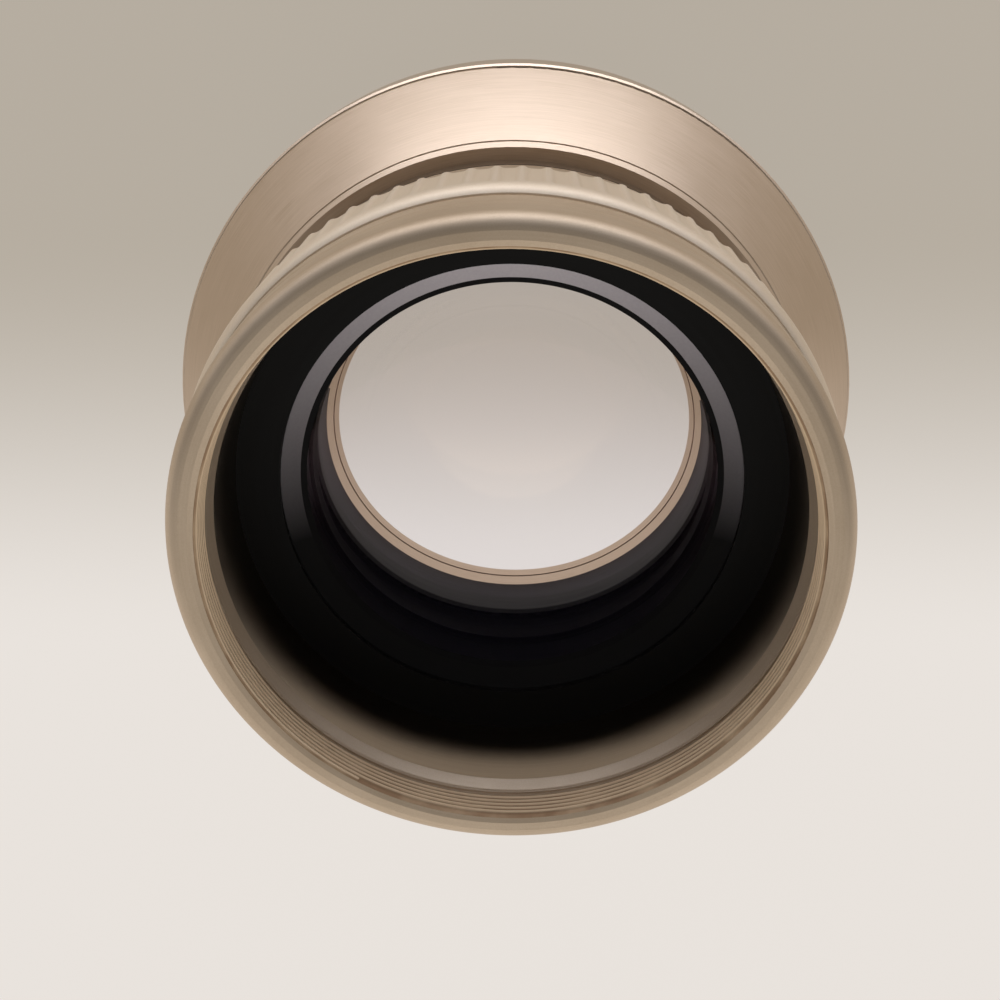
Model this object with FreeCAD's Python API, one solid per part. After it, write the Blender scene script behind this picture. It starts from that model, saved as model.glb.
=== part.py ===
"""Wide angle converter lens, in millimetres.

The optical axis is Z. The lens stands on its front rim, so the rear end with the female thread is up.
Every ring and both glasses are turned: each is an outline of radius and height, revolved about Z.
"""
import FreeCAD
import Part
import math
import os

# Heights of the outside, stacked from the front rim upwards
rim_height = 10.0
flare_height = 11.0
flange_lip_height = 0.7
flange_neck_height = 4.3
barrel_neck_height = 12.0
grip_height = 14.0
mount_ring_height = 11.0

# Steps of the outside in radius, from the rear thread outwards to the front rim
thread_diameter = 77.0
mount_ring_wall = 3.75
grip_step = 1.25
neck_step = 1.65
flange_face_width = 1.75
flange_lip_width = 0.6
flare_width = 9.5

# Rear thread M77 x 0.75, modelled as its minor bore
thread_pitch = 0.75
minor_diameter_drop = 1.0825
thread_run = 5.1
thread_chamfer_depth = 0.6
mouth_width = 0.5
mouth_dish_width = 1.3
mouth_dish_depth = 0.2
undercut_width = 0.9
undercut_depth = 0.8
land_height = 1.9
land_taper = 0.8
rear_bore_inset = 0.7
sleeve_wall = 1.2

# Outside of the rear mount ring: a plain wall with one shallow groove and a round shoulder
mount_shoulder_round = 1.15
mount_groove_drop = 5.2
mount_groove_width = 2.2
mount_groove_depth = 0.15

# Grip ring, with milled flutes from its front edge to a smooth band that rounds over at the rear
flute_count = 84
flute_width = 2.3
flute_depth = 0.35
flute_slope_width = 0.4
flute_runout = 0.9
rear_band_height = 1.9
grip_wall = 2.7
grip_recess_height = 0.8
grip_round = 2.0
grip_end_rise = 0.2

# Glass, set in from the bore or the neck that holds it
rear_element_inset = 3.8
rear_element_centre = 2.5
rear_concave_sphere = 49.0
rear_land_width = 2.1
rear_front_sphere = 300.0
rear_front_land_width = 1.2
front_element_inset = 1.85
front_element_centre = 4.0
front_concave_sphere = 58.0
front_concave_land_width = 5.2
front_convex_sphere = 95.0
front_convex_land_width = 1.1
glass_bevel = 0.4

# Rings that hold the glass
spacer_thickness = 0.8
shoulder_rise = 3.2
washer_thickness = 0.25
washer_width = 1.4
rear_ring_thickness = 1.4
rear_ring_dish = 0.6
gasket_thickness = 0.6
retainer_thread_width = 4.2
retainer_mouth_wall = 0.2
retainer_inset = 5.5

# Front rim
rim_wall = 6.5
rim_spigot_length = 3.5
rim_spigot_wall = 1.25
rim_line_inset = 2.6
rim_line_width = 0.4
rim_line_depth = 0.25
rim_chamfer = 0.5
rim_round = 0.8

# Flange and its joint with the barrel
flange_spigot_length = 6.0
flange_spigot_wall = 3.35
engraved_line_width = 0.25
engraved_line_depth = 0.2
barrel_seat_step = 0.6

# Grub screws in the neck
screw_count = 3
screw_start_angle = 30.0
screw_radius = 1.25
screw_hole_clearance = 0.03
screw_sink = 0.3
screw_socket_radius = 0.75
screw_socket_depth = 1.2

# Fits and edges
fit_clearance = 0.05
loose_clearance = 0.3
end_clearance = 0.1
joint_chamfer = 0.3
edge_round = 0.4


def sag(sphere, radius):
    """How far a sphere falls away from its vertex at a radius."""
    return sphere - math.sqrt(sphere * sphere - radius * radius)


# Radii of the outside
mount_ring_radius = thread_diameter / 2 + mount_ring_wall
grip_radius = mount_ring_radius + grip_step
neck_radius = grip_radius - neck_step
flange_lip_radius = neck_radius + flange_face_width
flare_foot_radius = flange_lip_radius + flange_lip_width
rim_radius = flare_foot_radius + flare_width

# Radii of the bores and the glass
mouth_radius = thread_diameter / 2 + mouth_width
thread_radius = (thread_diameter - minor_diameter_drop * thread_pitch) / 2
rear_bore_radius = thread_diameter / 2 - rear_bore_inset
rear_element_radius = rear_bore_radius - rear_element_inset
rear_clear_radius = rear_element_radius - rear_land_width
rear_front_clear_radius = rear_element_radius - rear_front_land_width
front_element_radius = neck_radius - front_element_inset
front_concave_clear_radius = front_element_radius - front_concave_land_width
front_convex_clear_radius = front_element_radius - front_convex_land_width
flange_spigot_radius = neck_radius - flange_spigot_wall
rim_bore_radius = rim_radius - rim_wall

# Levels of the outside
flare_base = rim_height
flare_top = flare_base + flare_height
flange_face = flare_top + flange_lip_height
barrel_front = flange_face + flange_neck_height
grip_base = barrel_front + barrel_neck_height
mount_ring_base = grip_base + grip_height
total_height = mount_ring_base + mount_ring_height

# Levels of the glass stack, from the flange's inner shoulder both ways
shoulder = flange_face + shoulder_rise
spacer_base = shoulder - spacer_thickness
rear_glass_front_vertex = shoulder + sag(rear_front_sphere, rear_front_clear_radius)
rear_glass_rear_vertex = rear_glass_front_vertex + rear_element_centre
rear_glass_top = rear_glass_rear_vertex + sag(rear_concave_sphere, rear_clear_radius)
washer_top = rear_glass_top + washer_thickness
rear_ring_top = washer_top + rear_ring_thickness
front_glass_rear_vertex = spacer_base - sag(front_concave_sphere, front_concave_clear_radius)
front_glass_front_vertex = front_glass_rear_vertex - front_element_centre
front_glass_base = front_glass_front_vertex + sag(front_convex_sphere, front_convex_clear_radius)
gasket_base = front_glass_base - gasket_thickness

# Radii shared by pieces that fit one another
sleeve_radius = rear_bore_radius + sleeve_wall
barrel_rear_bore = sleeve_radius + fit_clearance
grip_bore = grip_radius - grip_wall
barrel_radius = grip_bore - fit_clearance
flange_glass_bore = front_element_radius + fit_clearance
retainer_thread_radius = front_element_radius + retainer_thread_width
retainer_radius = rim_bore_radius - fit_clearance
rim_spigot_radius = rim_bore_radius + rim_spigot_wall
retainer_shoulder = flare_base + rim_spigot_length


def point(radius, height):
    return FreeCAD.Vector(radius, 0, height)


def turned(start, *steps):
    """Revolve an outline. A step of two numbers ends a line; one of four is an arc's middle and end."""
    edges = []
    here = point(*start)
    for step in steps + (start,):
        end = point(*step[-2:])
        if len(step) == 4:
            edges.append(Part.Arc(here, point(*step[:2]), end).toShape())
        else:
            edges.append(Part.makeLine(here, end))
        here = end
    face = Part.Face(Part.Wire(edges))
    return face.revolve(FreeCAD.Vector(), FreeCAD.Vector(0, 0, 1), 360)


def circles(solid, *places):
    """The circular edges of a turned solid at each radius and height."""
    found = []
    for radius, height in places:
        for edge in solid.Edges:
            curve = edge.Curve
            if isinstance(curve, Part.Circle) and abs(curve.Radius - radius) < 0.001:
                if abs(curve.Center.z - height) < 0.001:
                    found.append(edge)
    return found


def bowl_arc(sphere, radius, vertex, side):
    """Middle of the arc from a vertex on the axis to a radius; side is +1 where the rim is above it."""
    middle = radius / 2
    return middle, vertex + side * sag(sphere, middle)


def rear_mount_ring():
    top = total_height
    thread_top = top - mouth_dish_depth - thread_chamfer_depth
    thread_base = top - thread_run
    undercut_base = thread_base - undercut_width
    land_base = undercut_base - land_height
    groove_top = top - mount_groove_drop
    groove_base = groove_top - mount_groove_width
    bend = mount_shoulder_round * (1 - math.sqrt(0.5))
    return turned(
        (rear_bore_radius, rear_ring_top),
        (sleeve_radius, rear_ring_top),
        (sleeve_radius, mount_ring_base),
        (mount_ring_radius - joint_chamfer, mount_ring_base),
        (mount_ring_radius, mount_ring_base + joint_chamfer),
        (mount_ring_radius, groove_base),
        (mount_ring_radius - mount_groove_depth, (groove_top + groove_base) / 2),
        (mount_ring_radius, groove_top),
        (mount_ring_radius, top - mount_shoulder_round),
        (mount_ring_radius - bend, top - bend, mount_ring_radius - mount_shoulder_round, top),
        (mouth_radius + mouth_dish_width, top),
        (mouth_radius, top - mouth_dish_depth),
        (thread_radius, thread_top),
        (thread_radius, thread_base),
        (thread_radius + undercut_depth, thread_base),
        (thread_radius + undercut_depth, undercut_base),
        (rear_bore_radius + land_taper, undercut_base),
        (rear_bore_radius, land_base),
    )


def flute_cutter():
    """A tapered block that cuts one flute: flat floor, sloping sides and a sloping end."""
    floor = grip_radius - flute_depth
    floor_side = flute_width / 2 - flute_slope_width
    top_side = flute_width / 2 + flute_slope_width
    low = grip_base - flute_runout
    high = mount_ring_base - rear_band_height
    return Part.makeWedge(
        -floor_side, floor, low, low, -top_side,
        floor_side, floor + 2 * flute_depth, high - flute_runout, high + flute_runout, top_side)


def grip_ring():
    recess_radius = neck_radius + fit_clearance
    recess_top = grip_base + grip_recess_height
    end_radius = mount_ring_radius + grip_end_rise
    round_centre = grip_radius - grip_round
    turn = math.acos((end_radius - round_centre) / grip_round)
    round_base = mount_ring_base - grip_round * math.sin(turn)
    ring = turned(
        (recess_radius, grip_base),
        (grip_radius, grip_base),
        (grip_radius, round_base),
        (round_centre + grip_round * math.cos(turn / 2), round_base + grip_round * math.sin(turn / 2),
         end_radius, mount_ring_base),
        (grip_bore, mount_ring_base),
        (grip_bore, recess_top),
        (recess_radius, recess_top),
    )
    ring = ring.makeFillet(edge_round, circles(ring, (grip_radius, grip_base)))
    cutters = []
    for number in range(flute_count):
        cutter = flute_cutter()
        cutter.rotate(FreeCAD.Vector(), FreeCAD.Vector(0, 0, 1), number * 360 / flute_count)
        cutters.append(cutter)
    return ring.cut(cutters)


def main_barrel():
    neck_top = grip_base + grip_recess_height - fit_clearance
    spigot_bore = flange_spigot_radius + fit_clearance
    spigot_top = barrel_front + flange_spigot_length
    glass_bore = rear_element_radius + fit_clearance
    seat = rear_glass_top - barrel_seat_step
    barrel = turned(
        (spigot_bore, barrel_front),
        (neck_radius - joint_chamfer, barrel_front),
        (neck_radius, barrel_front + joint_chamfer),
        (neck_radius, neck_top),
        (barrel_radius, neck_top),
        (barrel_radius, mount_ring_base),
        (barrel_rear_bore, mount_ring_base),
        (barrel_rear_bore, seat),
        (glass_bore, seat),
        (glass_bore, spigot_top),
        (spigot_bore, spigot_top),
    )
    hole_radius = screw_radius + screw_hole_clearance
    holes = []
    for number in range(screw_count):
        hole = Part.makeCylinder(
            hole_radius, neck_radius, point(0, screw_height()), FreeCAD.Vector(1, 0, 0))
        hole.rotate(FreeCAD.Vector(), FreeCAD.Vector(0, 0, 1), screw_angle(number))
        holes.append(hole)
    return barrel.cut(holes)


def front_flange():
    spigot_top = barrel_front + flange_spigot_length - end_clearance
    spigot_bore = rear_element_radius + loose_clearance
    thread_bore = retainer_thread_radius + fit_clearance
    rim_bore = rim_spigot_radius + fit_clearance
    thread_top = front_glass_base + glass_bevel
    slope = (rim_radius - flare_foot_radius) / flare_height
    line_base = flare_top - engraved_line_width
    line_radius = flare_foot_radius + slope * engraved_line_width
    flange = turned(
        (rim_bore, flare_base),
        (rim_radius, flare_base),
        (line_radius, line_base),
        (line_radius - engraved_line_depth, line_base),
        (flare_foot_radius - engraved_line_depth, flare_top),
        (flare_foot_radius, flare_top),
        (flange_lip_radius, flange_face),
        (neck_radius, flange_face),
        (neck_radius, barrel_front - joint_chamfer),
        (neck_radius - joint_chamfer, barrel_front),
        (flange_spigot_radius, barrel_front),
        (flange_spigot_radius, spigot_top),
        (spigot_bore, spigot_top),
        (spigot_bore, shoulder),
        (flange_glass_bore, shoulder),
        (flange_glass_bore, thread_top),
        (thread_bore, thread_top),
        (thread_bore, retainer_shoulder + end_clearance),
        (rim_bore, retainer_shoulder + end_clearance),
    )
    return flange.makeFillet(edge_round, circles(flange, (rim_radius, flare_base)))


def front_rim():
    line_top = rim_line_inset + rim_line_width / 2
    line_base = rim_line_inset - rim_line_width / 2
    rim = turned(
        (rim_bore_radius + rim_chamfer, 0),
        (rim_radius, 0),
        (rim_radius, flare_base - joint_chamfer),
        (rim_radius - joint_chamfer, flare_base),
        (rim_spigot_radius, flare_base),
        (rim_spigot_radius, retainer_shoulder),
        (rim_bore_radius, retainer_shoulder),
        (rim_bore_radius, line_top),
        (rim_bore_radius + rim_line_depth, line_top),
        (rim_bore_radius + rim_line_depth, line_base),
        (rim_bore_radius, line_base),
        (rim_bore_radius, rim_chamfer),
    )
    return rim.makeFillet(rim_round, circles(rim, (rim_radius, 0)))


def front_retaining_ring():
    mouth = rim_bore_radius - retainer_mouth_wall
    return turned(
        (mouth, retainer_inset),
        (retainer_radius, retainer_inset),
        (retainer_radius, retainer_shoulder),
        (retainer_thread_radius, retainer_shoulder),
        (retainer_thread_radius, gasket_base),
        (front_convex_clear_radius, gasket_base),
    )


def front_element_gasket():
    return turned(
        (front_convex_clear_radius, gasket_base),
        (front_element_radius, gasket_base),
        (front_element_radius, front_glass_base),
        (front_convex_clear_radius, front_glass_base),
    )


def front_element():
    edge = front_element_radius
    land = edge - glass_bevel
    return turned(
        (0, front_glass_front_vertex),
        bowl_arc(front_convex_sphere, front_convex_clear_radius, front_glass_front_vertex, 1)
        + (front_convex_clear_radius, front_glass_base),
        (land, front_glass_base),
        (edge, front_glass_base + glass_bevel),
        (edge, spacer_base - glass_bevel),
        (land, spacer_base),
        (front_concave_clear_radius, spacer_base),
        bowl_arc(front_concave_sphere, front_concave_clear_radius, front_glass_rear_vertex, 1)
        + (0, front_glass_rear_vertex),
    )


def element_spacer():
    return turned(
        (rear_front_clear_radius, spacer_base),
        (front_element_radius, spacer_base),
        (front_element_radius, shoulder),
        (rear_front_clear_radius, shoulder),
    )


def rear_element():
    edge = rear_element_radius
    land = edge - glass_bevel
    return turned(
        (0, rear_glass_front_vertex),
        bowl_arc(rear_front_sphere, rear_front_clear_radius, rear_glass_front_vertex, -1)
        + (rear_front_clear_radius, shoulder),
        (land, shoulder),
        (edge, shoulder + glass_bevel),
        (edge, rear_glass_top - glass_bevel),
        (land, rear_glass_top),
        (rear_clear_radius, rear_glass_top),
        bowl_arc(rear_concave_sphere, rear_clear_radius, rear_glass_rear_vertex, 1)
        + (0, rear_glass_rear_vertex),
    )


def rear_element_washer():
    outer = rear_element_radius - glass_bevel / 2
    return turned(
        (outer - washer_width, rear_glass_top),
        (outer, rear_glass_top),
        (outer, washer_top),
        (outer - washer_width, washer_top),
    )


def rear_retaining_ring():
    return turned(
        (rear_clear_radius, washer_top),
        (sleeve_radius, washer_top),
        (sleeve_radius, rear_ring_top),
        (rear_bore_radius, rear_ring_top),
        (rear_clear_radius, rear_ring_top - rear_ring_dish),
    )


def screw_height():
    return barrel_front + flange_spigot_length / 2


def screw_angle(number):
    return screw_start_angle + number * 360 / screw_count


def neck_screw(number):
    outward = FreeCAD.Vector(1, 0, 0)
    head = neck_radius - screw_sink
    tip = flange_spigot_radius
    body = Part.makeCylinder(screw_radius, head - tip, point(tip, screw_height()), outward)
    corners = []
    for corner in range(7):
        angle = math.radians(corner * 60)
        corners.append(FreeCAD.Vector(
            head - screw_socket_depth, screw_socket_radius * math.cos(angle),
            screw_height() + screw_socket_radius * math.sin(angle)))
    socket = Part.Face(Part.makePolygon(corners)).extrude(outward * screw_socket_depth)
    screw = body.cut(socket)
    screw.rotate(FreeCAD.Vector(), FreeCAD.Vector(0, 0, 1), screw_angle(number))
    return screw


pieces = {
    "rear_mount_ring": rear_mount_ring(),
    "grip_ring": grip_ring(),
    "main_barrel": main_barrel(),
    "front_flange": front_flange(),
    "front_rim": front_rim(),
    "front_retaining_ring": front_retaining_ring(),
    "front_element_gasket": front_element_gasket(),
    "front_element": front_element(),
    "element_spacer": element_spacer(),
    "rear_element": rear_element(),
    "rear_element_washer": rear_element_washer(),
    "rear_retaining_ring": rear_retaining_ring(),
}
for number in range(screw_count):
    pieces[f"neck_screw_{number + 1}"] = neck_screw(number)

os.makedirs("parts", exist_ok=True)
for name, piece in pieces.items():
    piece.exportStep(f"parts/{name}.step")
print(f"{len(pieces)} pieces, {2 * rim_radius:.1f} mm across and {total_height:.1f} mm high")
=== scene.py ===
"""Wide angle converter lens, standing on its front rim, seen from its rear end.

Sizes are in millimetres, and the meshes in metres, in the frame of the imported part: the optical axis is Z,
the front rim stands at Z = 0 and the rear thread is at the top.
"""
import math

import bmesh
import bpy
from mathutils import Matrix, Vector


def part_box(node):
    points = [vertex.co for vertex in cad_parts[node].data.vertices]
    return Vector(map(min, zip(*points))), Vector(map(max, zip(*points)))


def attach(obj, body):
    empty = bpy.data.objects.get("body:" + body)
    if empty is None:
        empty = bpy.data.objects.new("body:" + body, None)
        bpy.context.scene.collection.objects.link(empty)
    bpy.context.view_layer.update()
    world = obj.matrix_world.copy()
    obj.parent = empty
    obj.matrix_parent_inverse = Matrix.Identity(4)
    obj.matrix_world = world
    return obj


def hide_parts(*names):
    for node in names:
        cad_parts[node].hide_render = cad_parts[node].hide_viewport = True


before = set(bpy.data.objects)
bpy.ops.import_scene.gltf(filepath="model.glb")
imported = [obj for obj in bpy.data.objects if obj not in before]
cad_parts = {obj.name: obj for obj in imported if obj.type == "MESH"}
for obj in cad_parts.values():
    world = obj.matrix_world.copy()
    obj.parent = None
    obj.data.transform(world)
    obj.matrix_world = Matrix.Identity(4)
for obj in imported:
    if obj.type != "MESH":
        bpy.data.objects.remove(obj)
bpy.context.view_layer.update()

# Front flange and main barrel
# The flange is the big flare behind the front glass, turned from aluminium, brushed round its axis and
# anodised in champagne. The barrel is the plain tube that screws into it and carries the grip.
MM = 0.001
JOINT_REACH = 0.45
JOINT_FULL_SHARE = 0.7
BRUSHED_STREAK = (7.0, 0.16)
BRUSHED_CLOUDS_PER_MM = 0.09
BRUSHED_DEPTH = 0.012
SATIN_MARK = (20.0, 0.2)
SATIN_CLOUDS_PER_MM = 0.07
SATIN_GRAINS_PER_MM = 5.5
SATIN_DEPTH = 0.008

lens_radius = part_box("front_flange")[1].x / MM
joint_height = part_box("main_barrel")[0].z


def linear(code):
    """An sRGB hex colour as the linear values that a shader takes."""
    channels = [int(code[place:place + 2], 16) / 255 for place in (1, 3, 5)]
    return tuple(c / 12.92 if c <= 0.04045 else ((c + 0.055) / 1.055) ** 2.4 for c in channels) + (1.0,)


def feed(node, inputs):
    """Sets a node's inputs to values or links them to other nodes' outputs; a node means its first output."""
    for key, value in inputs.items():
        source = value.outputs[0] if isinstance(value, bpy.types.Node) else value
        if isinstance(source, bpy.types.NodeSocket):
            node.id_data.links.new(source, node.inputs[key])
        else:
            node.inputs[key].default_value = source


def add(tree, kind, inputs=None, **settings):
    """A node with its settings and its inputs."""
    made = tree.nodes.new(kind)
    for name, value in settings.items():
        setattr(made, name, value)
    feed(made, inputs or {})
    return made


def new_material(name):
    """An empty node material and its Principled shader."""
    material = bpy.data.materials.new(name)
    material.use_nodes = True
    return material, material.node_tree, material.node_tree.nodes["Principled BSDF"]


def from_axis(tree, place):
    """A place without its height, its distance from the axis, and its height."""
    flat = add(tree, "ShaderNodeVectorMath", {0: place, 1: (1, 1, 0)}, operation="MULTIPLY")
    radius = add(tree, "ShaderNodeVectorMath", {0: flat}, operation="LENGTH").outputs["Value"]
    return flat, radius, add(tree, "ShaderNodeSeparateXYZ", {0: place}).outputs["Z"]


def around_axis(tree, length, width):
    """Coordinates for marks that run round the axis, for noise of scale 1, from a mark's length and width."""
    flat, radius, height = from_axis(tree, add(tree, "ShaderNodeTexCoord").outputs["Object"])
    round_way = add(tree, "ShaderNodeVectorMath", {0: flat}, operation="NORMALIZE")
    turned_place = add(tree, "ShaderNodeVectorMath", {
        0: round_way, "Scale": lens_radius / length}, operation="SCALE")
    parts = add(tree, "ShaderNodeSeparateXYZ", {0: turned_place}).outputs
    slant = add(tree, "ShaderNodeMath", {0: height, 1: radius}, operation="SUBTRACT")
    across = add(tree, "ShaderNodeMath", {0: slant, 1: 1 / (width * MM)}, operation="MULTIPLY")
    return add(tree, "ShaderNodeCombineXYZ", {"X": parts["X"], "Y": parts["Y"], "Z": across})


def mottle(tree, per_mm, detail):
    """An even pattern through the piece, from how many of its grains or clouds lie in a millimetre."""
    place = add(tree, "ShaderNodeTexCoord").outputs["Object"]
    return add(tree, "ShaderNodeTexNoise", {"Vector": place, "Scale": per_mm / MM, "Detail": detail})


def grimy_joint(tree, colour):
    """The colour, dark where dirt sits in the joint between flange and barrel."""
    place = add(tree, "ShaderNodeTexCoord").outputs["Object"]
    height = add(tree, "ShaderNodeSeparateXYZ", {0: place}).outputs["Z"]
    above = add(tree, "ShaderNodeMath", {0: height, 1: joint_height}, operation="SUBTRACT")
    dirt = add(tree, "ShaderNodeMapRange", {
        "Value": add(tree, "ShaderNodeMath", {0: above}, operation="ABSOLUTE"),
        "From Min": JOINT_REACH * JOINT_FULL_SHARE * MM, "From Max": JOINT_REACH * MM, "To Min": 1.0, "To Max": 0.0})
    mix = add(tree, "ShaderNodeMix", {0: dirt, 6: colour, 7: linear("#2e241b")}, data_type="RGBA")
    return mix.outputs[2]


def dress(node, material):
    """Gives a piece of the part its finish."""
    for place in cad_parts[node].material_slots:
        place.material = material


def brushed_champagne():
    """Aluminium, brushed round the axis with a pad before it is anodised in champagne: long fine streaks that
    spread a highlight across them, and a pale golden colour."""
    material, tree, shader = new_material("brushed_champagne_anodised_aluminium")
    streaks = add(tree, "ShaderNodeTexNoise", {
        "Vector": around_axis(tree, *BRUSHED_STREAK), "Scale": 1.0, "Detail": 3.0, "Roughness": 0.6})
    tone = add(tree, "ShaderNodeMix", {0: 0.25, 2: streaks, 3: mottle(tree, BRUSHED_CLOUDS_PER_MM, 3.0)})
    share = add(tree, "ShaderNodeMapRange", {"Value": tone, "From Min": 0.3, "From Max": 0.7})
    colour = add(tree, "ShaderNodeMix", {
        0: share, 6: linear("#c1ad98"), 7: linear("#d2beaa")}, data_type="RGBA").outputs[2]
    roughness = add(tree, "ShaderNodeMapRange", {
        "Value": streaks, "From Min": 0.3, "From Max": 0.7, "To Min": 0.3, "To Max": 0.42})
    bump = add(tree, "ShaderNodeBump", {
        "Height": streaks, "Strength": 0.35, "Distance": BRUSHED_DEPTH * MM})
    feed(shader, {
        "Base Color": grimy_joint(tree, colour), "Roughness": roughness, "Metallic": 1.0, "Anisotropic": 0.5,
        "Normal": bump})
    return material


def satin_champagne():
    """Aluminium, turned, etched to a satin and anodised in the same champagne: soft highlights, the faintest
    turning marks and a fine grain."""
    material, tree, shader = new_material("satin_champagne_anodised_aluminium")
    marks = add(tree, "ShaderNodeTexNoise", {
        "Vector": around_axis(tree, *SATIN_MARK), "Scale": 1.0, "Detail": 2.0})
    grain = mottle(tree, SATIN_GRAINS_PER_MM, 1.0)
    tone = add(tree, "ShaderNodeMix", {0: 0.3, 2: mottle(tree, SATIN_CLOUDS_PER_MM, 3.0), 3: marks})
    share = add(tree, "ShaderNodeMapRange", {"Value": tone, "From Min": 0.3, "From Max": 0.7})
    colour = add(tree, "ShaderNodeMix", {
        0: share, 6: linear("#c6b29a"), 7: linear("#d4c1aa")}, data_type="RGBA").outputs[2]
    roughness = add(tree, "ShaderNodeMapRange", {
        "Value": grain, "From Min": 0.3, "From Max": 0.7, "To Min": 0.5, "To Max": 0.6})
    height = add(tree, "ShaderNodeMath", {0: grain, 1: 0.6, 2: marks}, operation="MULTIPLY_ADD")
    bump = add(tree, "ShaderNodeBump", {"Height": height, "Strength": 0.3, "Distance": SATIN_DEPTH * MM})
    feed(shader, {
        "Base Color": grimy_joint(tree, colour), "Roughness": roughness, "Metallic": 1.0, "Normal": bump})
    return material


brushed = brushed_champagne()
satin = satin_champagne()
dress("front_flange", brushed)
dress("main_barrel", satin)

# Front rim
# The rim that the lens stands on, turned in one and screwed into the flange. Its plain bore with one fine
# line round it shows through both glasses as a golden ring.
dress("front_rim", brushed)

# Front retaining ring, spacer and rear retaining ring
# Black anodised aluminium. The first is the cone that holds the front glass, the spacer parts the glasses,
# and the plain flat ring holds the rear glass down in its seat.
BLACK_MARK = (30.0, 0.18)
BLACK_DEPTH = 0.01


def matte_black():
    """Black anodised aluminium, turned: near black, with a low sheen and very fine turning marks."""
    material, tree, shader = new_material("matte_black_anodised_aluminium")
    marks = add(tree, "ShaderNodeTexNoise", {
        "Vector": around_axis(tree, *BLACK_MARK), "Scale": 1.0, "Detail": 2.0})
    colour = add(tree, "ShaderNodeMix", {
        0: marks, 6: linear("#0d0c0b"), 7: linear("#151413")}, data_type="RGBA").outputs[2]
    roughness = add(tree, "ShaderNodeMapRange", {
        "Value": marks, "From Min": 0.3, "From Max": 0.7, "To Min": 0.42, "To Max": 0.58})
    bump = add(tree, "ShaderNodeBump", {"Height": marks, "Strength": 0.25, "Distance": BLACK_DEPTH * MM})
    feed(shader, {"Base Color": colour, "Roughness": roughness, "Specular IOR Level": 0.15, "Normal": bump})
    return material


black = matte_black()
for node in ("front_retaining_ring", "element_spacer", "rear_retaining_ring"):
    dress(node, black)

# Gasket and washer
# A black rubber ring beds the front glass, and a thin black polyester washer lies between the rear glass and
# its ring. Only their edges could ever show.
SHEET_GRAINS_PER_MM = 3.0
SHEET_DEPTH = 0.01


def soft_black(name, code, roughness):
    """Moulded or punched black sheet: dull, with a slight grain."""
    material, tree, shader = new_material(name)
    grain = mottle(tree, SHEET_GRAINS_PER_MM, 2.0)
    colour = add(tree, "ShaderNodeMix", {
        0: grain, 6: linear(code), 7: linear("#2b2a29")}, data_type="RGBA").outputs[2]
    bump = add(tree, "ShaderNodeBump", {"Height": grain, "Strength": 0.3, "Distance": SHEET_DEPTH * MM})
    feed(shader, {"Base Color": colour, "Roughness": roughness, "Normal": bump})
    return material


dress("front_element_gasket", soft_black("moulded_nitrile_rubber", "#1a1a1a", 0.8))
dress("rear_element_washer", soft_black("punched_polyester_sheet", "#161616", 0.5))

# Neck screws
# Three short socket screws of steel with a black oxide finish, let into the neck at even turns. They lock the
# flange to the barrel.
OXIDE_CLOUDS_PER_MM = 1.5


def blackened_steel():
    """Steel with a black oxide finish: dark grey metal, a little worn towards grey."""
    material, tree, shader = new_material("black_oxide_steel")
    unevenness = add(tree, "ShaderNodeMapRange", {
        "Value": mottle(tree, OXIDE_CLOUDS_PER_MM, 3.0), "From Min": 0.45, "From Max": 0.75})
    colour = add(tree, "ShaderNodeMix", {
        0: unevenness, 6: linear("#2a2826"), 7: linear("#6b6660")}, data_type="RGBA").outputs[2]
    feed(shader, {"Base Color": colour, "Roughness": 0.4, "Metallic": 1.0})
    return material


oxide = blackened_steel()
for number in (1, 2, 3):
    dress(f"neck_screw_{number}", oxide)

# Front glass and rear glass
# The front glass is a large meniscus and the rear one is hollow on both sides, so that the view is spread.
# Both are polished optical glass with a thin coating against glare. Their edges are ground and left pale, with
# painted shade that turns them black towards minus Y, and black lacquer marks where the rear glass's polish ends.
GLASS_BEVEL = 0.4
FRONT_CENTRE = 4.0
FRONT_SPHERE = 95.0
FRONT_CLEAR = 38.9
FRONT_REAR_SPHERE = 58.0
FRONT_REAR_CLEAR = 34.8
REAR_CENTRE = 2.5
REAR_SPHERE = 49.0
REAR_CLEAR = 31.9
REAR_POLISHED = 29.4
REAR_FRONT_SPHERE = 300.0
REAR_FRONT_CLEAR = 32.8
INK_LINE = 0.8
INK_CLOUDS_PER_MM = 0.9
# Painted shade on the ground edges: fully black below the first of these heights in Y, fully pale above the second.
FULL_SHADE_BELOW = -8.0
NO_SHADE_ABOVE = 34.0
GROUND_GRAINS_PER_MM = 2.5
SPHERE_STEPS = 40
TURNED_STEPS = 256
CREASE_ANGLE = 28


def rounded(corners, steps):
    """An outline whose corners of three values, radius, height and rounding, become arcs."""
    outline = []
    for number, corner in enumerate(corners):
        here = Vector(corner[:2])
        size = corner[2] if len(corner) > 2 else 0
        if not size:
            outline.append(here)
            continue
        back = Vector(corners[number - 1][:2]) - here
        on = Vector(corners[(number + 1) % len(corners)][:2]) - here
        half = back.angle(on) / 2
        centre = here + (back.normalized() + on.normalized()).normalized() * size / math.sin(half)
        start = (here + back.normalized() * size / math.tan(half) - centre).normalized()
        finish = (here + on.normalized() * size / math.tan(half) - centre).normalized()
        for step in range(steps + 1):
            outline.append(centre + start.slerp(finish, step / steps) * size)
    return outline


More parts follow.
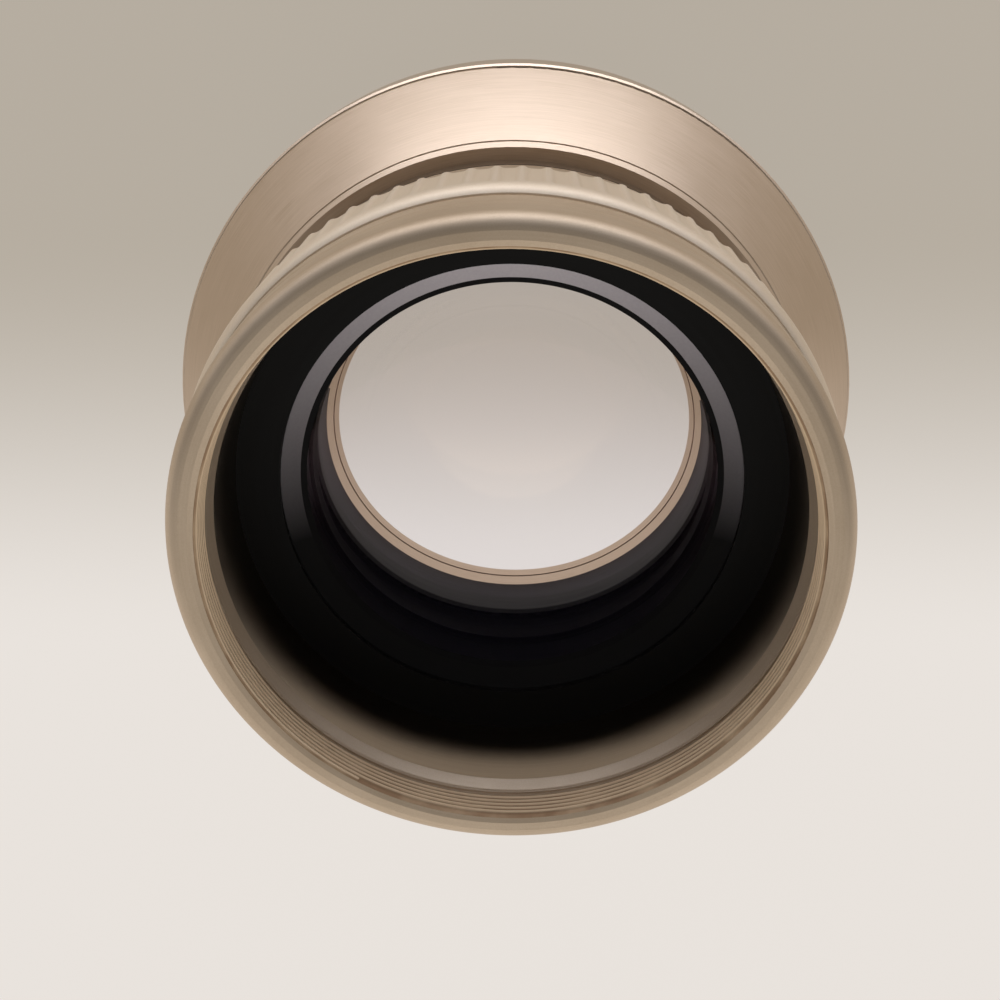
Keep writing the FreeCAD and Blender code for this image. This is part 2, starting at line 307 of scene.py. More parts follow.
def turned(name, outline, materials, segments=TURNED_STEPS, choose=None):
    """A closed mesh, in metres, from an outline of radius and height in millimetres turned about the axis."""
    work = bmesh.new()
    rings = []
    for radius, height in outline:
        count = segments if radius > 0 else 1
        ring = []
        for step in range(count):
            angle = math.tau * step / count
            ring.append(work.verts.new(
                (radius * MM * math.cos(angle), radius * MM * math.sin(angle), height * MM)))
        rings.append(ring)
    for number, ring in enumerate(rings):
        after = rings[(number + 1) % len(rings)]
        if len(ring) == len(after) == 1:
            continue
        for step in range(segments):
            corners = [ring[step % len(ring)], ring[(step + 1) % len(ring)],
                       after[(step + 1) % len(after)], after[step % len(after)]]
            work.faces.new(list(dict.fromkeys(corners)))
    bmesh.ops.recalc_face_normals(work, faces=work.faces)
    mesh = bpy.data.meshes.new(name)
    work.to_mesh(mesh)
    work.free()
    for material in materials:
        mesh.materials.append(material)
    if choose:
        for face in mesh.polygons:
            middle = face.center / MM
            face.material_index = choose(middle.xy.length, middle.z)
    mesh.shade_smooth()
    mesh.set_sharp_from_angle(angle=math.radians(CREASE_ANGLE))
    piece = bpy.data.objects.new(name, mesh)
    bpy.context.scene.collection.objects.link(piece)
    return piece


def stand_for(piece, node):
    """The piece rides with the part and takes the place of a node."""
    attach(piece, "root")
    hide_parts(node)


def sag(sphere, radius):
    """How far a sphere falls away from its vertex at a radius."""
    return sphere - math.sqrt(sphere * sphere - radius * radius)


def bowl(sphere, vertex, reach):
    """Points of a spherical face from the axis outwards; a vertex below its rim has a positive sphere."""
    points = []
    for step in range(SPHERE_STEPS + 1):
        radius = reach * step / SPHERE_STEPS
        points.append((radius, vertex + math.copysign(sag(abs(sphere), radius), sphere)))
    return points


def glass_edge(rim, base, top):
    """The bevelled cylinder round a glass, from its lower face to its upper one."""
    return [(rim - GLASS_BEVEL, base), (rim, base + GLASS_BEVEL),
            (rim, top - GLASS_BEVEL), (rim - GLASS_BEVEL, top)]


def coated_glass():
    """Optical glass, polished, with a quarter-wave film of magnesium fluoride: clear, with faint lilac
    reflections. Lamps shine through it."""
    material, tree, shader = new_material("coated_optical_glass")
    feed(shader, {
        "Base Color": linear("#fbf9fa"), "Roughness": 0.0, "IOR": 1.6, "Transmission Weight": 1.0,
        "Thin Film Thickness": 100.0, "Thin Film IOR": 1.38})
    lamp_ray = add(tree, "ShaderNodeLightPath").outputs["Is Shadow Ray"]
    clear = add(tree, "ShaderNodeBsdfTransparent", {"Color": linear("#f4f2f0")})
    both = add(tree, "ShaderNodeMixShader", {0: lamp_ray, 1: shader, 2: clear})
    feed(tree.nodes["Material Output"], {"Surface": both})
    return material


def ground_glass():
    """The fine-ground edge of a lens: pale lilac grey and quite matte, with painted shade that turns it black
    towards minus Y.
    """
    material, tree, shader = new_material("ground_glass_edge")
    place = add(tree, "ShaderNodeTexCoord").outputs["Object"]
    # Painted shade: the pale edge is painted black towards minus Y, where less light reaches it.
    unshaded = add(tree, "ShaderNodeMapRange", {
        "Value": add(tree, "ShaderNodeSeparateXYZ", {0: place}).outputs["Y"],
        "From Min": FULL_SHADE_BELOW * MM, "From Max": NO_SHADE_ABOVE * MM})
    pale = add(tree, "ShaderNodeMix", {
        0: mottle(tree, GROUND_GRAINS_PER_MM, 2.0), 6: linear("#dcd4dc"), 7: linear("#ebe5ea")},
        data_type="RGBA").outputs[2]
    colour = add(tree, "ShaderNodeMix", {0: unshaded, 6: linear("#0b0a0a"), 7: pale}, data_type="RGBA").outputs[2]
    feed(shader, {"Base Color": colour, "Roughness": 0.9})
    return material


def edge_ink():
    """The black lacquer that stops stray light, brushed on where the polish ends."""
    material, tree, shader = new_material("black_edge_lacquer")
    clouds = mottle(tree, INK_CLOUDS_PER_MM, 2.0)
    colour = add(tree, "ShaderNodeMix", {
        0: clouds, 6: linear("#0a090a"), 7: linear("#121012")}, data_type="RGBA").outputs[2]
    roughness = add(tree, "ShaderNodeMapRange", {
        "Value": clouds, "From Min": 0.3, "From Max": 0.7, "To Min": 0.5, "To Max": 0.65})
    feed(shader, {"Base Color": colour, "Roughness": roughness, "Specular IOR Level": 0.2})
    return material


def front_glass():
    """A meniscus whose flat land round the hollow face is ground like its edge."""
    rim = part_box("front_element")[1].x / MM
    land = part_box("front_element")[1].z / MM
    hollow = land - sag(FRONT_REAR_SPHERE, FRONT_REAR_CLEAR)
    front = hollow - FRONT_CENTRE
    base = front + sag(FRONT_SPHERE, FRONT_CLEAR)
    outline = bowl(FRONT_SPHERE, front, FRONT_CLEAR) + glass_edge(rim, base, land)
    outline += reversed(bowl(FRONT_REAR_SPHERE, hollow, FRONT_REAR_CLEAR))

    def finish(radius, height):
        on_land = radius > FRONT_REAR_CLEAR and height > (base + land) / 2
        return 1 if radius > FRONT_CLEAR or on_land else 0

    return turned("front_glass", outline, [glass, edge], choose=finish)


def rear_glass():
    """Hollow on both faces, with a line of lacquer and a ground band outside the polish on its rear face."""
    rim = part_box("rear_element")[1].x / MM
    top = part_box("rear_element")[1].z / MM
    hollow = top - sag(REAR_SPHERE, REAR_CLEAR)
    front = hollow - REAR_CENTRE
    shoulder = front - sag(REAR_FRONT_SPHERE, REAR_FRONT_CLEAR)
    outline = bowl(-REAR_FRONT_SPHERE, front, REAR_FRONT_CLEAR) + glass_edge(rim, shoulder, top)
    outline += reversed(bowl(REAR_SPHERE, hollow, REAR_CLEAR))

    def finish(radius, height):
        upper = height > (hollow + top) / 2
        if radius > REAR_FRONT_CLEAR or radius > REAR_POLISHED and upper:
            return 1
        return 2 if radius > REAR_POLISHED - INK_LINE and upper else 0

    return turned("rear_glass", outline, [glass, edge, edge_ink()], choose=finish)


glass = coated_glass()
edge = ground_glass()
stand_for(front_glass(), "front_element")
stand_for(rear_glass(), "rear_element")

# Grip ring
# A sleeve over the barrel with a round rear end, milled with shallow flutes that run out through its front
# edge and stop short of the round. It is anodised with the rest.
GRIP_WALL = 2.7
GRIP_ROUND = 2.0
GRIP_ROUND_STEPS = 10
GRIP_END_RISE = 0.2
GRIP_EDGE_ROUND = 0.4
GRIP_EDGE_STEPS = 6
GRIP_RECESS_HEIGHT = 0.8
GRIP_RECESS_CLEARANCE = 0.05
REAR_BAND = 1.9
FLUTES = 84
FLUTE_DEPTH = 0.35
FLUTE_SHARE = 0.8
FLUTE_RUNOUT = 0.9
FLUTE_SIDE_POWER = 4.0
FLUTE_END_POWER = 2.0
FLUTE_ROWS = 4
RUNOUT_ROWS = 8
POINTS_PER_FLUTE = 16
SHADED_DEPTH_SHARE = 0.75
LIT_DEPTH_SHARE = 0.1
GRIP_GRAINS_PER_MM = 5.5
GRIP_CLOUDS_PER_MM = 0.16
GRIP_MARK_DEPTH = 0.008


def geometry_tree(name, inputs):
    """A Geometry Nodes tree with named inputs after its geometry, and its two ends."""
    tree = bpy.data.node_groups.new(name, "GeometryNodeTree")
    tree.interface.new_socket("Geometry", in_out="INPUT", socket_type="NodeSocketGeometry")
    for title, kind in inputs.items():
        tree.interface.new_socket(title, in_out="INPUT", socket_type=kind)
    tree.interface.new_socket("Geometry", in_out="OUTPUT", socket_type="NodeSocketGeometry")
    return tree, tree.nodes.new("NodeGroupInput").outputs, tree.nodes.new("NodeGroupOutput")


def grown(piece, tree, values):
    """The piece as the tree makes it, as a plain mesh with no modifier."""
    modifier = piece.modifiers.new(tree.name, "NODES")
    modifier.node_group = tree
    sockets = {item.name: item.identifier for item in tree.interface.items_tree if item.in_out == "INPUT"}
    for title, value in values.items():
        modifier[sockets[title]] = value
    seen = piece.evaluated_get(bpy.context.evaluated_depsgraph_get())
    mesh = bpy.data.meshes.new_from_object(seen)
    piece.modifiers.remove(modifier)
    piece.data = mesh
    return piece


def fluting():
    """Moves the outer wall inwards in shallow flutes, open at the front and run out at the rear."""
    size = "NodeSocketFloat"
    tree, given, made = geometry_tree("fluting", {
        "Flutes": "NodeSocketInt", "Depth": size, "Share": size, "End": size, "End Length": size,
        "Wall Radius": size, "Material": "NodeSocketMaterial"})
    place = add(tree, "GeometryNodeInputPosition")
    flat, radius, height = from_axis(tree, place)
    parts = add(tree, "ShaderNodeSeparateXYZ", {0: place}).outputs
    angle = add(tree, "ShaderNodeMath", {0: parts["Y"], 1: parts["X"]}, operation="ARCTAN2")
    per_radian = add(tree, "ShaderNodeMath", {0: given["Flutes"], 1: math.tau}, operation="DIVIDE")
    turn = add(tree, "ShaderNodeMath", {0: angle, 1: per_radian}, operation="MULTIPLY")
    nearest = add(tree, "ShaderNodeMath", {0: turn}, operation="ROUND")
    off_centre = add(tree, "ShaderNodeMath", {0: turn, 1: nearest}, operation="SUBTRACT")
    half_share = add(tree, "ShaderNodeMath", {0: given["Share"], 1: 0.5}, operation="MULTIPLY")
    across = add(tree, "ShaderNodeMath", {0: off_centre, 1: half_share}, operation="DIVIDE")
    from_end = add(tree, "ShaderNodeMath", {0: height, 1: given["End"]}, operation="SUBTRACT")
    past_end = add(tree, "ShaderNodeMath", {0: from_end, 1: 0.0}, operation="MAXIMUM")
    along = add(tree, "ShaderNodeMath", {0: past_end, 1: given["End Length"]}, operation="DIVIDE")
    side_rise = add(tree, "ShaderNodeMath", {0: across, 1: FLUTE_SIDE_POWER}, operation="POWER")
    end_rise = add(tree, "ShaderNodeMath", {0: along, 1: FLUTE_END_POWER}, operation="POWER")
    rise = add(tree, "ShaderNodeMath", {0: side_rise, 1: end_rise}, operation="ADD")
    hollow = add(tree, "ShaderNodeMath", {0: 1.0, 1: rise}, operation="SUBTRACT", use_clamp=True)
    depth = add(tree, "ShaderNodeMath", {0: hollow, 1: given["Depth"]}, operation="MULTIPLY")
    floor_radius = add(tree, "ShaderNodeMath", {0: given["Wall Radius"], 1: depth}, operation="SUBTRACT")
    new_radius = add(tree, "ShaderNodeMath", {0: radius, 1: floor_radius}, operation="MINIMUM")
    ratio = add(tree, "ShaderNodeMath", {0: new_radius, 1: radius}, operation="DIVIDE")
    change = add(tree, "ShaderNodeMath", {0: ratio, 1: 1.0}, operation="SUBTRACT")
    offset = add(tree, "ShaderNodeVectorMath", {0: flat, "Scale": change}, operation="SCALE")
    cut = add(tree, "GeometryNodeSetPosition", {"Geometry": given["Geometry"], "Offset": offset})
    real = add(tree, "GeometryNodeRealizeInstances", {"Geometry": cut})
    finished = add(tree, "GeometryNodeSetMaterial", {"Geometry": real, "Material": given["Material"]})
    feed(made, {"Geometry": finished})
    return tree


def spread(low, high, steps):
    """Even steps from low to high, both ends among them."""
    return [low + (high - low) * step / steps for step in range(steps + 1)]


def fluted_champagne(wall):
    """The same satin anodising on the grip: painted shade down in the flutes and painted light on the ridges."""
    material, tree, shader = new_material("fluted_champagne_anodised_aluminium")
    radius = from_axis(tree, add(tree, "ShaderNodeTexCoord").outputs["Object"])[1]
    # Painted shade and light: the colour is darker down in the flutes and lighter on the ridges, unevenly round the
    # ring.
    ridges = add(tree, "ShaderNodeMapRange", {
        "Value": radius, "From Min": (wall - FLUTE_DEPTH * SHADED_DEPTH_SHARE) * MM,
        "From Max": (wall - FLUTE_DEPTH * LIT_DEPTH_SHARE) * MM})
    unevenness = add(tree, "ShaderNodeMapRange", {
        "Value": mottle(tree, GRIP_CLOUDS_PER_MM, 3.0), "From Min": 0.35, "From Max": 0.6, "To Min": 0.7})
    painted_ridge_light = add(tree, "ShaderNodeMath", {0: ridges, 1: unevenness}, operation="MULTIPLY")
    colour = add(tree, "ShaderNodeMix", {
        0: painted_ridge_light, 6: linear("#e9d9c4"), 7: linear("#eddecb")}, data_type="RGBA").outputs[2]
    grain = mottle(tree, GRIP_GRAINS_PER_MM, 1.0)
    roughness = add(tree, "ShaderNodeMapRange", {
        "Value": grain, "From Min": 0.3, "From Max": 0.7, "To Min": 0.56, "To Max": 0.66})
    bump = add(tree, "ShaderNodeBump", {"Height": grain, "Strength": 0.2, "Distance": GRIP_MARK_DEPTH * MM})
    feed(shader, {"Base Color": colour, "Roughness": roughness, "Metallic": 1.0, "Normal": bump})
    return material


def grip():
    """The sleeve, with rows enough in its wall for the flutes, and the fluting that cuts them."""
    low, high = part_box("grip_ring")
    wall, base, top = high.x / MM, low.z / MM, high.z / MM
    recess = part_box("main_barrel")[1].x / MM + GRIP_RECESS_CLEARANCE
    recess_top = base + GRIP_RECESS_HEIGHT
    end_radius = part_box("rear_mount_ring")[1].x / MM + GRIP_END_RISE
    round_centre = wall - GRIP_ROUND
    turn = math.acos((end_radius - round_centre) / GRIP_ROUND)
    round_base = top - GRIP_ROUND * math.sin(turn)
    runout_top = top - REAR_BAND
    flute_end = runout_top - FLUTE_RUNOUT
    front = [(recess, base), (wall, base, GRIP_EDGE_ROUND), (wall, runout_top)]
    outline = rounded(front, GRIP_EDGE_STEPS)[:-1]
    rows = spread(outline[-1].y, flute_end, FLUTE_ROWS)[1:] + spread(flute_end, runout_top, RUNOUT_ROWS)[1:]
    outline += [(wall, height) for height in rows]
    outline += [(round_centre + GRIP_ROUND * math.cos(angle), round_base + GRIP_ROUND * math.sin(angle))
                for angle in spread(0, turn, GRIP_ROUND_STEPS)]
    outline += [(wall - GRIP_WALL, top), (wall - GRIP_WALL, recess_top), (recess, recess_top)]
    finish = fluted_champagne(wall)
    ring = turned("fluted_grip", outline, [finish], segments=FLUTES * POINTS_PER_FLUTE)
    return grown(ring, fluting(), {
        "Flutes": FLUTES, "Depth": FLUTE_DEPTH * MM, "Share": FLUTE_SHARE, "End": flute_end * MM,
        "End Length": FLUTE_RUNOUT * MM, "Wall Radius": wall * MM, "Material": finish})


stand_for(grip(), "grip_ring")

# Rear mount ring
# The ring at the camera end, turned in one with the smooth sleeve inside it. A fine thread, M77 with a pitch
# of 0.75 mm, is cut in its mouth and runs out in a groove.
THREAD_RADIUS = 38.5
THREAD_PITCH = 0.75
THREAD_DEPTH = 0.41
THREAD_SUNK = 0.02
THREAD_RUN = 5.1
THREAD_START_ANGLE = -122.0
THREAD_STEPS = 160
RIDGE_SHARE = 0.98
CREST_SHARE = 0.25
PALE_CREST = 0.33
DARK_ROOT = 0.2
LEAD_IN = 0.2
MOUTH_WIDTH = 0.7
MOUTH_ROUND = 0.1
DISH_WIDTH = 1.1
DISH_DEPTH = 0.05
DISH_ROUND = 0.4
UNDERCUT_WIDTH = 0.9
UNDERCUT_DEPTH = 0.39
LAND_HEIGHT = 1.9
LAND_TAPER = 0.8
LAND_LIP = 0.5
LAND_ROUND = 0.08
SLEEVE_BORE = 37.8
SLEEVE_WALL = 1.2
BORED_BELOW_LAND = 0.05
BORED_REACH = 0.02
JOINT_CHAMFER = 0.3
JOINT_LOW_ROUND = 0.1
JOINT_HIGH_ROUND = 0.3
SHOULDER_ROUND = 2.0
GROOVE_DROP = 5.2
GROOVE_WIDTH = 2.2
GROOVE_DEPTH = 0.25
GROOVE_ROUND = 1.0
RING_STEPS = 320
RING_ROUND_STEPS = 8
BORED_MARK = (40.0, 0.12)
ROOT_PATCHES_PER_MM = 0.22


def threaded_champagne():
    """Where the thread is cut, the same anodising is dull: pale crests, and roots darker in patches."""
    material, tree, shader = new_material("cut_thread_champagne_anodised_aluminium")
    radius = from_axis(tree, add(tree, "ShaderNodeTexCoord").outputs["Object"])[1]
    # The colour is pale on the crests and darker towards the roots, in patches.
    roots = add(tree, "ShaderNodeMapRange", {
        "Value": radius, "From Min": (THREAD_RADIUS - PALE_CREST) * MM,
        "From Max": (THREAD_RADIUS - DARK_ROOT) * MM})
    root_patches = add(tree, "ShaderNodeMapRange", {
        "Value": mottle(tree, ROOT_PATCHES_PER_MM, 3.0), "From Min": 0.3, "From Max": 0.6, "To Min": 0.55})
    share = add(tree, "ShaderNodeMath", {0: roots, 1: root_patches}, operation="MULTIPLY")
    colour = add(tree, "ShaderNodeMix", {
        0: share, 6: linear("#ecd0ac"), 7: linear("#a88868")}, data_type="RGBA").outputs[2]
    feed(shader, {"Base Color": colour, "Roughness": 0.5, "Metallic": 0.3})
    return material


def bored_champagne():
    """The same aluminium in the bore, left as the boring bar cut it: smooth, with fine turning marks that
    draw a highlight out along the axis."""
    material, tree, shader = new_material("fine_bored_champagne_anodised_aluminium")
    marks = add(tree, "ShaderNodeTexNoise", {
        "Vector": around_axis(tree, *BORED_MARK), "Scale": 1.0, "Detail": 2.0})
    colour = add(tree, "ShaderNodeMix", {
        0: marks, 6: linear("#988874"), 7: linear("#aa9a84")}, data_type="RGBA").outputs[2]
    roughness = add(tree, "ShaderNodeMapRange", {
        "Value": marks, "From Min": 0.3, "From Max": 0.7, "To Min": 0.28, "To Max": 0.34})
    feed(shader, {"Base Color": colour, "Roughness": roughness, "Metallic": 1.0, "Anisotropic": 0.75})
    return material


def threading():
    """Winds a ridge of the thread's section round the bore and joins it to the ring."""
    size = "NodeSocketFloat"
    tree, given, made = geometry_tree("threading", {
        "Turns": size, "Pitch": size, "Root Radius": size, "Depth": size, "Crest Share": size, "Base": size,
        "Start Angle": size, "Material": "NodeSocketMaterial"})
    half_depth = add(tree, "ShaderNodeMath", {0: given["Depth"], 1: 2.0}, operation="DIVIDE")
    middle = add(tree, "ShaderNodeMath", {0: given["Root Radius"], 1: half_depth}, operation="SUBTRACT")
    run = add(tree, "ShaderNodeMath", {0: given["Turns"], 1: given["Pitch"]}, operation="MULTIPLY")
    spiral = add(tree, "GeometryNodeCurveSpiral", {
        "Resolution": THREAD_STEPS, "Rotations": given["Turns"], "Start Radius": middle, "End Radius": middle,
        "Height": run, "Reverse": True})
    upright = add(tree, "GeometryNodeSetCurveNormal", {"Curve": spiral}, mode="Z_UP")
    root = add(tree, "ShaderNodeMath", {0: given["Pitch"], 1: RIDGE_SHARE}, operation="MULTIPLY")
    crest = add(tree, "ShaderNodeMath", {0: given["Pitch"], 1: given["Crest Share"]}, operation="MULTIPLY")
    section = add(tree, "GeometryNodeCurvePrimitiveQuadrilateral", {
        "Bottom Width": root, "Top Width": crest, "Height": given["Depth"], "Offset": 0.0}, mode="TRAPEZOID")
    inwards = add(tree, "GeometryNodeTransform", {"Geometry": section, "Rotation": (0, 0, math.pi / 2)})
    ridge = add(tree, "GeometryNodeCurveToMesh", {
        "Curve": upright, "Profile Curve": inwards, "Fill Caps": True})
    lifted = add(tree, "GeometryNodeTransform", {
        "Geometry": ridge,
        "Rotation": add(tree, "ShaderNodeCombineXYZ", {"Z": given["Start Angle"]}),
        "Translation": add(tree, "ShaderNodeCombineXYZ", {"Z": given["Base"]})})
    flat_faces = add(tree, "GeometryNodeSetShadeSmooth", {"Geometry": lifted, "Shade Smooth": False})
    cut = add(tree, "GeometryNodeSetMaterial", {"Geometry": flat_faces, "Material": given["Material"]})
    both = add(tree, "GeometryNodeJoinGeometry", {"Geometry": given["Geometry"]})
    feed(both, {"Geometry": cut})
    real = add(tree, "GeometryNodeRealizeInstances", {"Geometry": both})
    radius, height = from_axis(tree, add(tree, "GeometryNodeInputPosition"))[1:]
    inside = add(tree, "ShaderNodeMath", {0: radius, 1: given["Root Radius"]}, operation="LESS_THAN")
    foot = add(tree, "ShaderNodeMath", {0: given["Base"], 1: given["Pitch"]}, operation="SUBTRACT")
    above = add(tree, "ShaderNodeMath", {0: height, 1: foot}, operation="GREATER_THAN")
    threaded = add(tree, "ShaderNodeMath", {0: inside, 1: above}, operation="MULTIPLY")
    finished = add(tree, "GeometryNodeSetMaterial", {
        "Geometry": real, "Selection": threaded, "Material": given["Material"]})
    feed(made, {"Geometry": finished})
    return tree


def mount_ring():
    """The ring from its sleeve to its mouth, and the thread. The bored finish starts just below the land."""
    low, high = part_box("rear_mount_ring")
    sleeve_base, top, wall = low.z / MM, high.z / MM, high.x / MM
    ring_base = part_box("grip_ring")[1].z / MM
    sleeve = SLEEVE_BORE + SLEEVE_WALL
    mouth = THREAD_RADIUS + MOUTH_WIDTH
    thread_base = top - THREAD_RUN
    thread_top = top - DISH_DEPTH - LEAD_IN
    undercut = THREAD_RADIUS + UNDERCUT_DEPTH
    undercut_base = thread_base - UNDERCUT_WIDTH
    lip = SLEEVE_BORE + LAND_TAPER
    bore_top = undercut_base - LAND_HEIGHT
    groove_top = top - GROOVE_DROP
    outline = rounded([
        (SLEEVE_BORE, sleeve_base), (sleeve, sleeve_base), (sleeve, ring_base),
        (wall - JOINT_CHAMFER, ring_base, JOINT_LOW_ROUND),
        (wall, ring_base + JOINT_CHAMFER, JOINT_HIGH_ROUND),
        (wall, groove_top - GROOVE_WIDTH, GROOVE_ROUND),
        (wall - GROOVE_DEPTH, groove_top - GROOVE_WIDTH / 2, GROOVE_ROUND),
        (wall, groove_top, GROOVE_ROUND),
        (wall, top, SHOULDER_ROUND), (mouth + DISH_WIDTH, top, DISH_ROUND),
        (mouth, top - DISH_DEPTH, MOUTH_ROUND),
        (THREAD_RADIUS, thread_top), (THREAD_RADIUS, thread_base),
        (undercut, thread_base), (undercut, undercut_base),
        (lip, undercut_base, LAND_ROUND), (lip, undercut_base - LAND_LIP, LAND_ROUND),
        (SLEEVE_BORE, bore_top, LAND_ROUND)], RING_ROUND_STEPS)

    def finish(radius, height):
        return int(radius < SLEEVE_BORE + BORED_REACH and height < bore_top - BORED_BELOW_LAND)

    ring = turned(
        "threaded_mount_ring", outline, [satin, bored_champagne()], segments=RING_STEPS, choose=finish)
    turns = (thread_top - thread_base) / THREAD_PITCH - 1.0
    low_end = math.radians(THREAD_START_ANGLE) - math.tau * turns
    return grown(ring, threading(), {
        "Turns": turns, "Pitch": THREAD_PITCH * MM, "Root Radius": (THREAD_RADIUS + THREAD_SUNK) * MM,
        "Depth": (THREAD_DEPTH + THREAD_SUNK) * MM, "Crest Share": CREST_SHARE, "Start Angle": low_end,
        "Base": (thread_base + THREAD_PITCH / 2) * MM, "Material": threaded_champagne()})


stand_for(mount_ring(), "rear_mount_ring")

# Floor
# A plain pale surface, a little greyer towards the back.
FLOOR_SIZE = 4.0
FLOOR_GAP = 0.02
FLOOR_PALE_BEFORE = -50.0
FLOOR_GREY_BEHIND = 30.0
CAMERA_GLOW = 0.88


def painted_board():
    """Matte painted board, plain and pale. Metal and glass see it bright, and it keeps a faint shadow."""
    material, tree, shader = new_material("pale_painted_board")
    place = add(tree, "ShaderNodeTexCoord").outputs["Object"]
    share = add(tree, "ShaderNodeMapRange", {
        "Value": add(tree, "ShaderNodeSeparateXYZ", {0: place}).outputs["Y"],
        "From Min": FLOOR_PALE_BEFORE * MM, "From Max": FLOOR_GREY_BEHIND * MM},
        interpolation_type="SMOOTHSTEP")
    colour = add(tree, "ShaderNodeMix", {
        0: share, 6: linear("#f0eae4"), 7: linear("#bcb3a6")}, data_type="RGBA").outputs[2]
    feed(shader, {"Base Color": colour, "Roughness": 0.9, "Specular IOR Level": 0.1})
    ray = add(tree, "ShaderNodeLightPath").outputs
    seen = add(tree, "ShaderNodeMath", {0: ray["Is Camera Ray"], 1: CAMERA_GLOW}, operation="MULTIPLY")
    mirrored = add(tree, "ShaderNodeMath", {
        0: ray["Is Glossy Ray"], 1: ray["Is Transmission Ray"]}, operation="MAXIMUM")
    shining = add(tree, "ShaderNodeMath", {0: seen, 1: mirrored}, operation="MAXIMUM")
    shine = add(tree, "ShaderNodeEmission", {"Color": colour, "Strength": 1.0})
    both = add(tree, "ShaderNodeMixShader", {0: shining, 1: shader, 2: shine})
    feed(tree.nodes["Material Output"], {"Surface": both})
    return material


half = FLOOR_SIZE / 2
corners = [(-half, -half, 0), (half, -half, 0), (half, half, 0), (-half, half, 0)]
floor_mesh = bpy.data.meshes.new("floor")
floor_mesh.from_pydata(corners, [], [(0, 1, 2, 3)])
floor_mesh.materials.append(painted_board())
floor = bpy.data.objects.new("floor", floor_mesh)
floor.location.z = -FLOOR_GAP * MM
bpy.context.scene.collection.objects.link(floor)

# Light
# A soft pale room, bright low down at the back, softer at the front and sides and dim overhead, with one long
# lamp at the back.
LAMP_PLACE = (0, 700, 90)
LAMP_WIDTH = 900
LAMP_HEIGHT = 120
LAMP_POWER = 1.2
LIT_HEIGHT = 20
ROOM_GLIMMER = 0.14
LOW_GLIMMER = 0.2


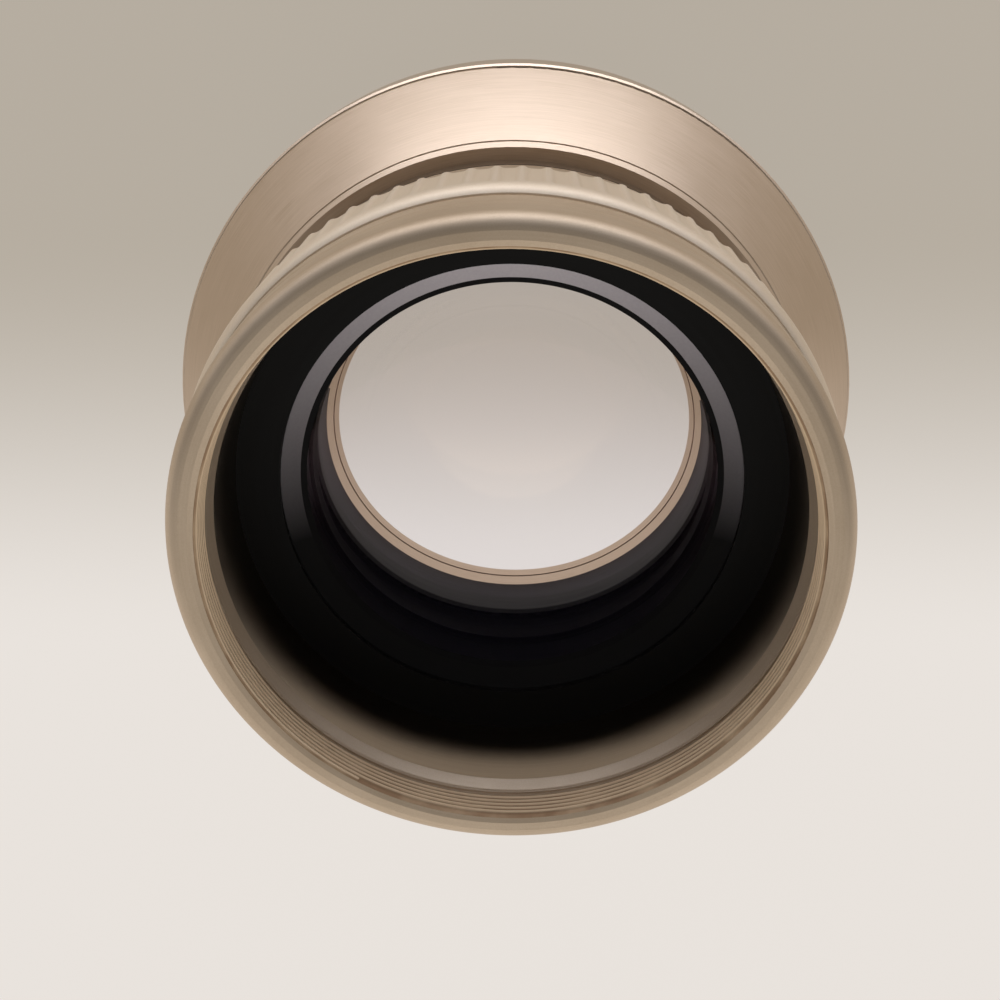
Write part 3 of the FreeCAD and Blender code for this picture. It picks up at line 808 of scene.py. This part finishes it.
def room():
    """Light that is warm from the front and sides and cool from the back. The camera sees a plain wall."""
    world = bpy.data.worlds.new("room")
    bpy.context.scene.world = world
    world.use_nodes = True
    tree = world.node_tree
    way = add(tree, "ShaderNodeTexCoord").outputs["Generated"]
    parts = add(tree, "ShaderNodeSeparateXYZ", {0: way}).outputs

    def glow(direction, sharpness, strength):
        facing = add(tree, "ShaderNodeVectorMath", {0: way, 1: direction}, operation="DOT_PRODUCT")
        ahead = add(tree, "ShaderNodeMath", {0: facing.outputs["Value"], 1: 0.0}, operation="MAXIMUM")
        lobe = add(tree, "ShaderNodeMath", {0: ahead, 1: sharpness}, operation="POWER")
        return add(tree, "ShaderNodeMath", {0: lobe, 1: strength}, operation="MULTIPLY")

    low = add(tree, "ShaderNodeMapRange", {
        "Value": parts["Z"], "From Min": 0.06, "From Max": 0.34, "To Min": 1.0, "To Max": 0.0},
        interpolation_type="SMOOTHSTEP")
    sides = add(tree, "ShaderNodeMath", {
        0: glow((1, 0, 0), 3.0, 0.35), 1: glow((-1, 0, 0), 3.0, 0.5)}, operation="ADD")
    around = add(tree, "ShaderNodeMath", {0: sides, 1: LOW_GLIMMER}, operation="ADD")
    low_light = add(tree, "ShaderNodeMath", {0: around, 1: low}, operation="MULTIPLY")
    window = add(tree, "ShaderNodeMapRange", {
        "Value": parts["Y"], "From Min": -0.6, "From Max": -0.12, "To Min": 0.9, "To Max": 0.0},
        interpolation_type="SMOOTHSTEP")
    below_ceiling = add(tree, "ShaderNodeMapRange", {
        "Value": parts["Z"], "From Min": 0.1, "From Max": 0.7, "To Min": 0.55, "To Max": 1.0})
    window_light = add(tree, "ShaderNodeMath", {
        0: window, 1: below_ceiling, 2: ROOM_GLIMMER}, operation="MULTIPLY_ADD")
    near = add(tree, "ShaderNodeMath", {0: window_light, 1: low_light}, operation="ADD")
    warm = add(tree, "ShaderNodeBackground", {"Color": linear("#fffcf8"), "Strength": near})
    below_top = add(tree, "ShaderNodeMapRange", {
        "Value": parts["Z"], "From Min": 0.04, "From Max": 0.6, "To Min": 1.0, "To Max": 0.0})
    back = add(tree, "ShaderNodeMath", {0: glow((0, 1, 0), 2.0, 2.35), 1: below_top}, operation="MULTIPLY")
    cool = add(tree, "ShaderNodeBackground", {"Color": linear("#e6edff"), "Strength": back})
    light = add(tree, "ShaderNodeAddShader", {0: warm, 1: cool})
    wall = add(tree, "ShaderNodeBackground", {"Color": linear("#dcd6ce"), "Strength": 1.0})
    camera_ray = add(tree, "ShaderNodeLightPath").outputs["Is Camera Ray"]
    both = add(tree, "ShaderNodeMixShader", {0: camera_ray, 1: light, 2: wall})
    feed(tree.nodes["World Output"], {"Surface": both})


room()
lamp_data = bpy.data.lights.new("back_lamp", "AREA")
lamp_data.shape = "RECTANGLE"
lamp_data.size = LAMP_WIDTH * MM
lamp_data.size_y = LAMP_HEIGHT * MM
lamp_data.energy = LAMP_POWER
lamp_data.color = linear("#f4f7ff")[:3]
lamp = bpy.data.objects.new("back_lamp", lamp_data)
lamp.location = Vector(LAMP_PLACE) * MM
lamp_way = Vector((0, 0, LIT_HEIGHT)) - Vector(LAMP_PLACE)
lamp.rotation_euler = lamp_way.to_track_quat("-Z", "Y").to_euler()
bpy.context.scene.collection.objects.link(lamp)

# Camera
# Close above the rear end, a little to the back, looking steeply down.
CAMERA_PLACE = (2.44, 65.93, 193.24)
CAMERA_AIM = (-1.61, -1.71, 40.0)
CAMERA_ROLL = 0.63
CAMERA_NEAREST = 5.0
SENSOR_WIDTH = 36.0
LENS_TO_SENSOR = 1.2

camera_data = bpy.data.cameras.new("camera")
camera_data.sensor_width = SENSOR_WIDTH
camera_data.lens = SENSOR_WIDTH * LENS_TO_SENSOR
camera_data.clip_start = CAMERA_NEAREST * MM
camera = bpy.data.objects.new("camera", camera_data)
bpy.context.scene.collection.objects.link(camera)
forward = (Vector(CAMERA_AIM) - Vector(CAMERA_PLACE)).normalized()
level = forward.cross(Vector((0, 1, 0))).normalized()
right = Matrix.Rotation(math.radians(CAMERA_ROLL), 3, forward) @ level
camera.matrix_world = Matrix.Translation(Vector(CAMERA_PLACE) * MM) @ Matrix(
    (right, right.cross(forward), -forward)).transposed().to_4x4()
bpy.context.scene.camera = camera

bpy.context.scene.view_settings.view_transform = "Standard"
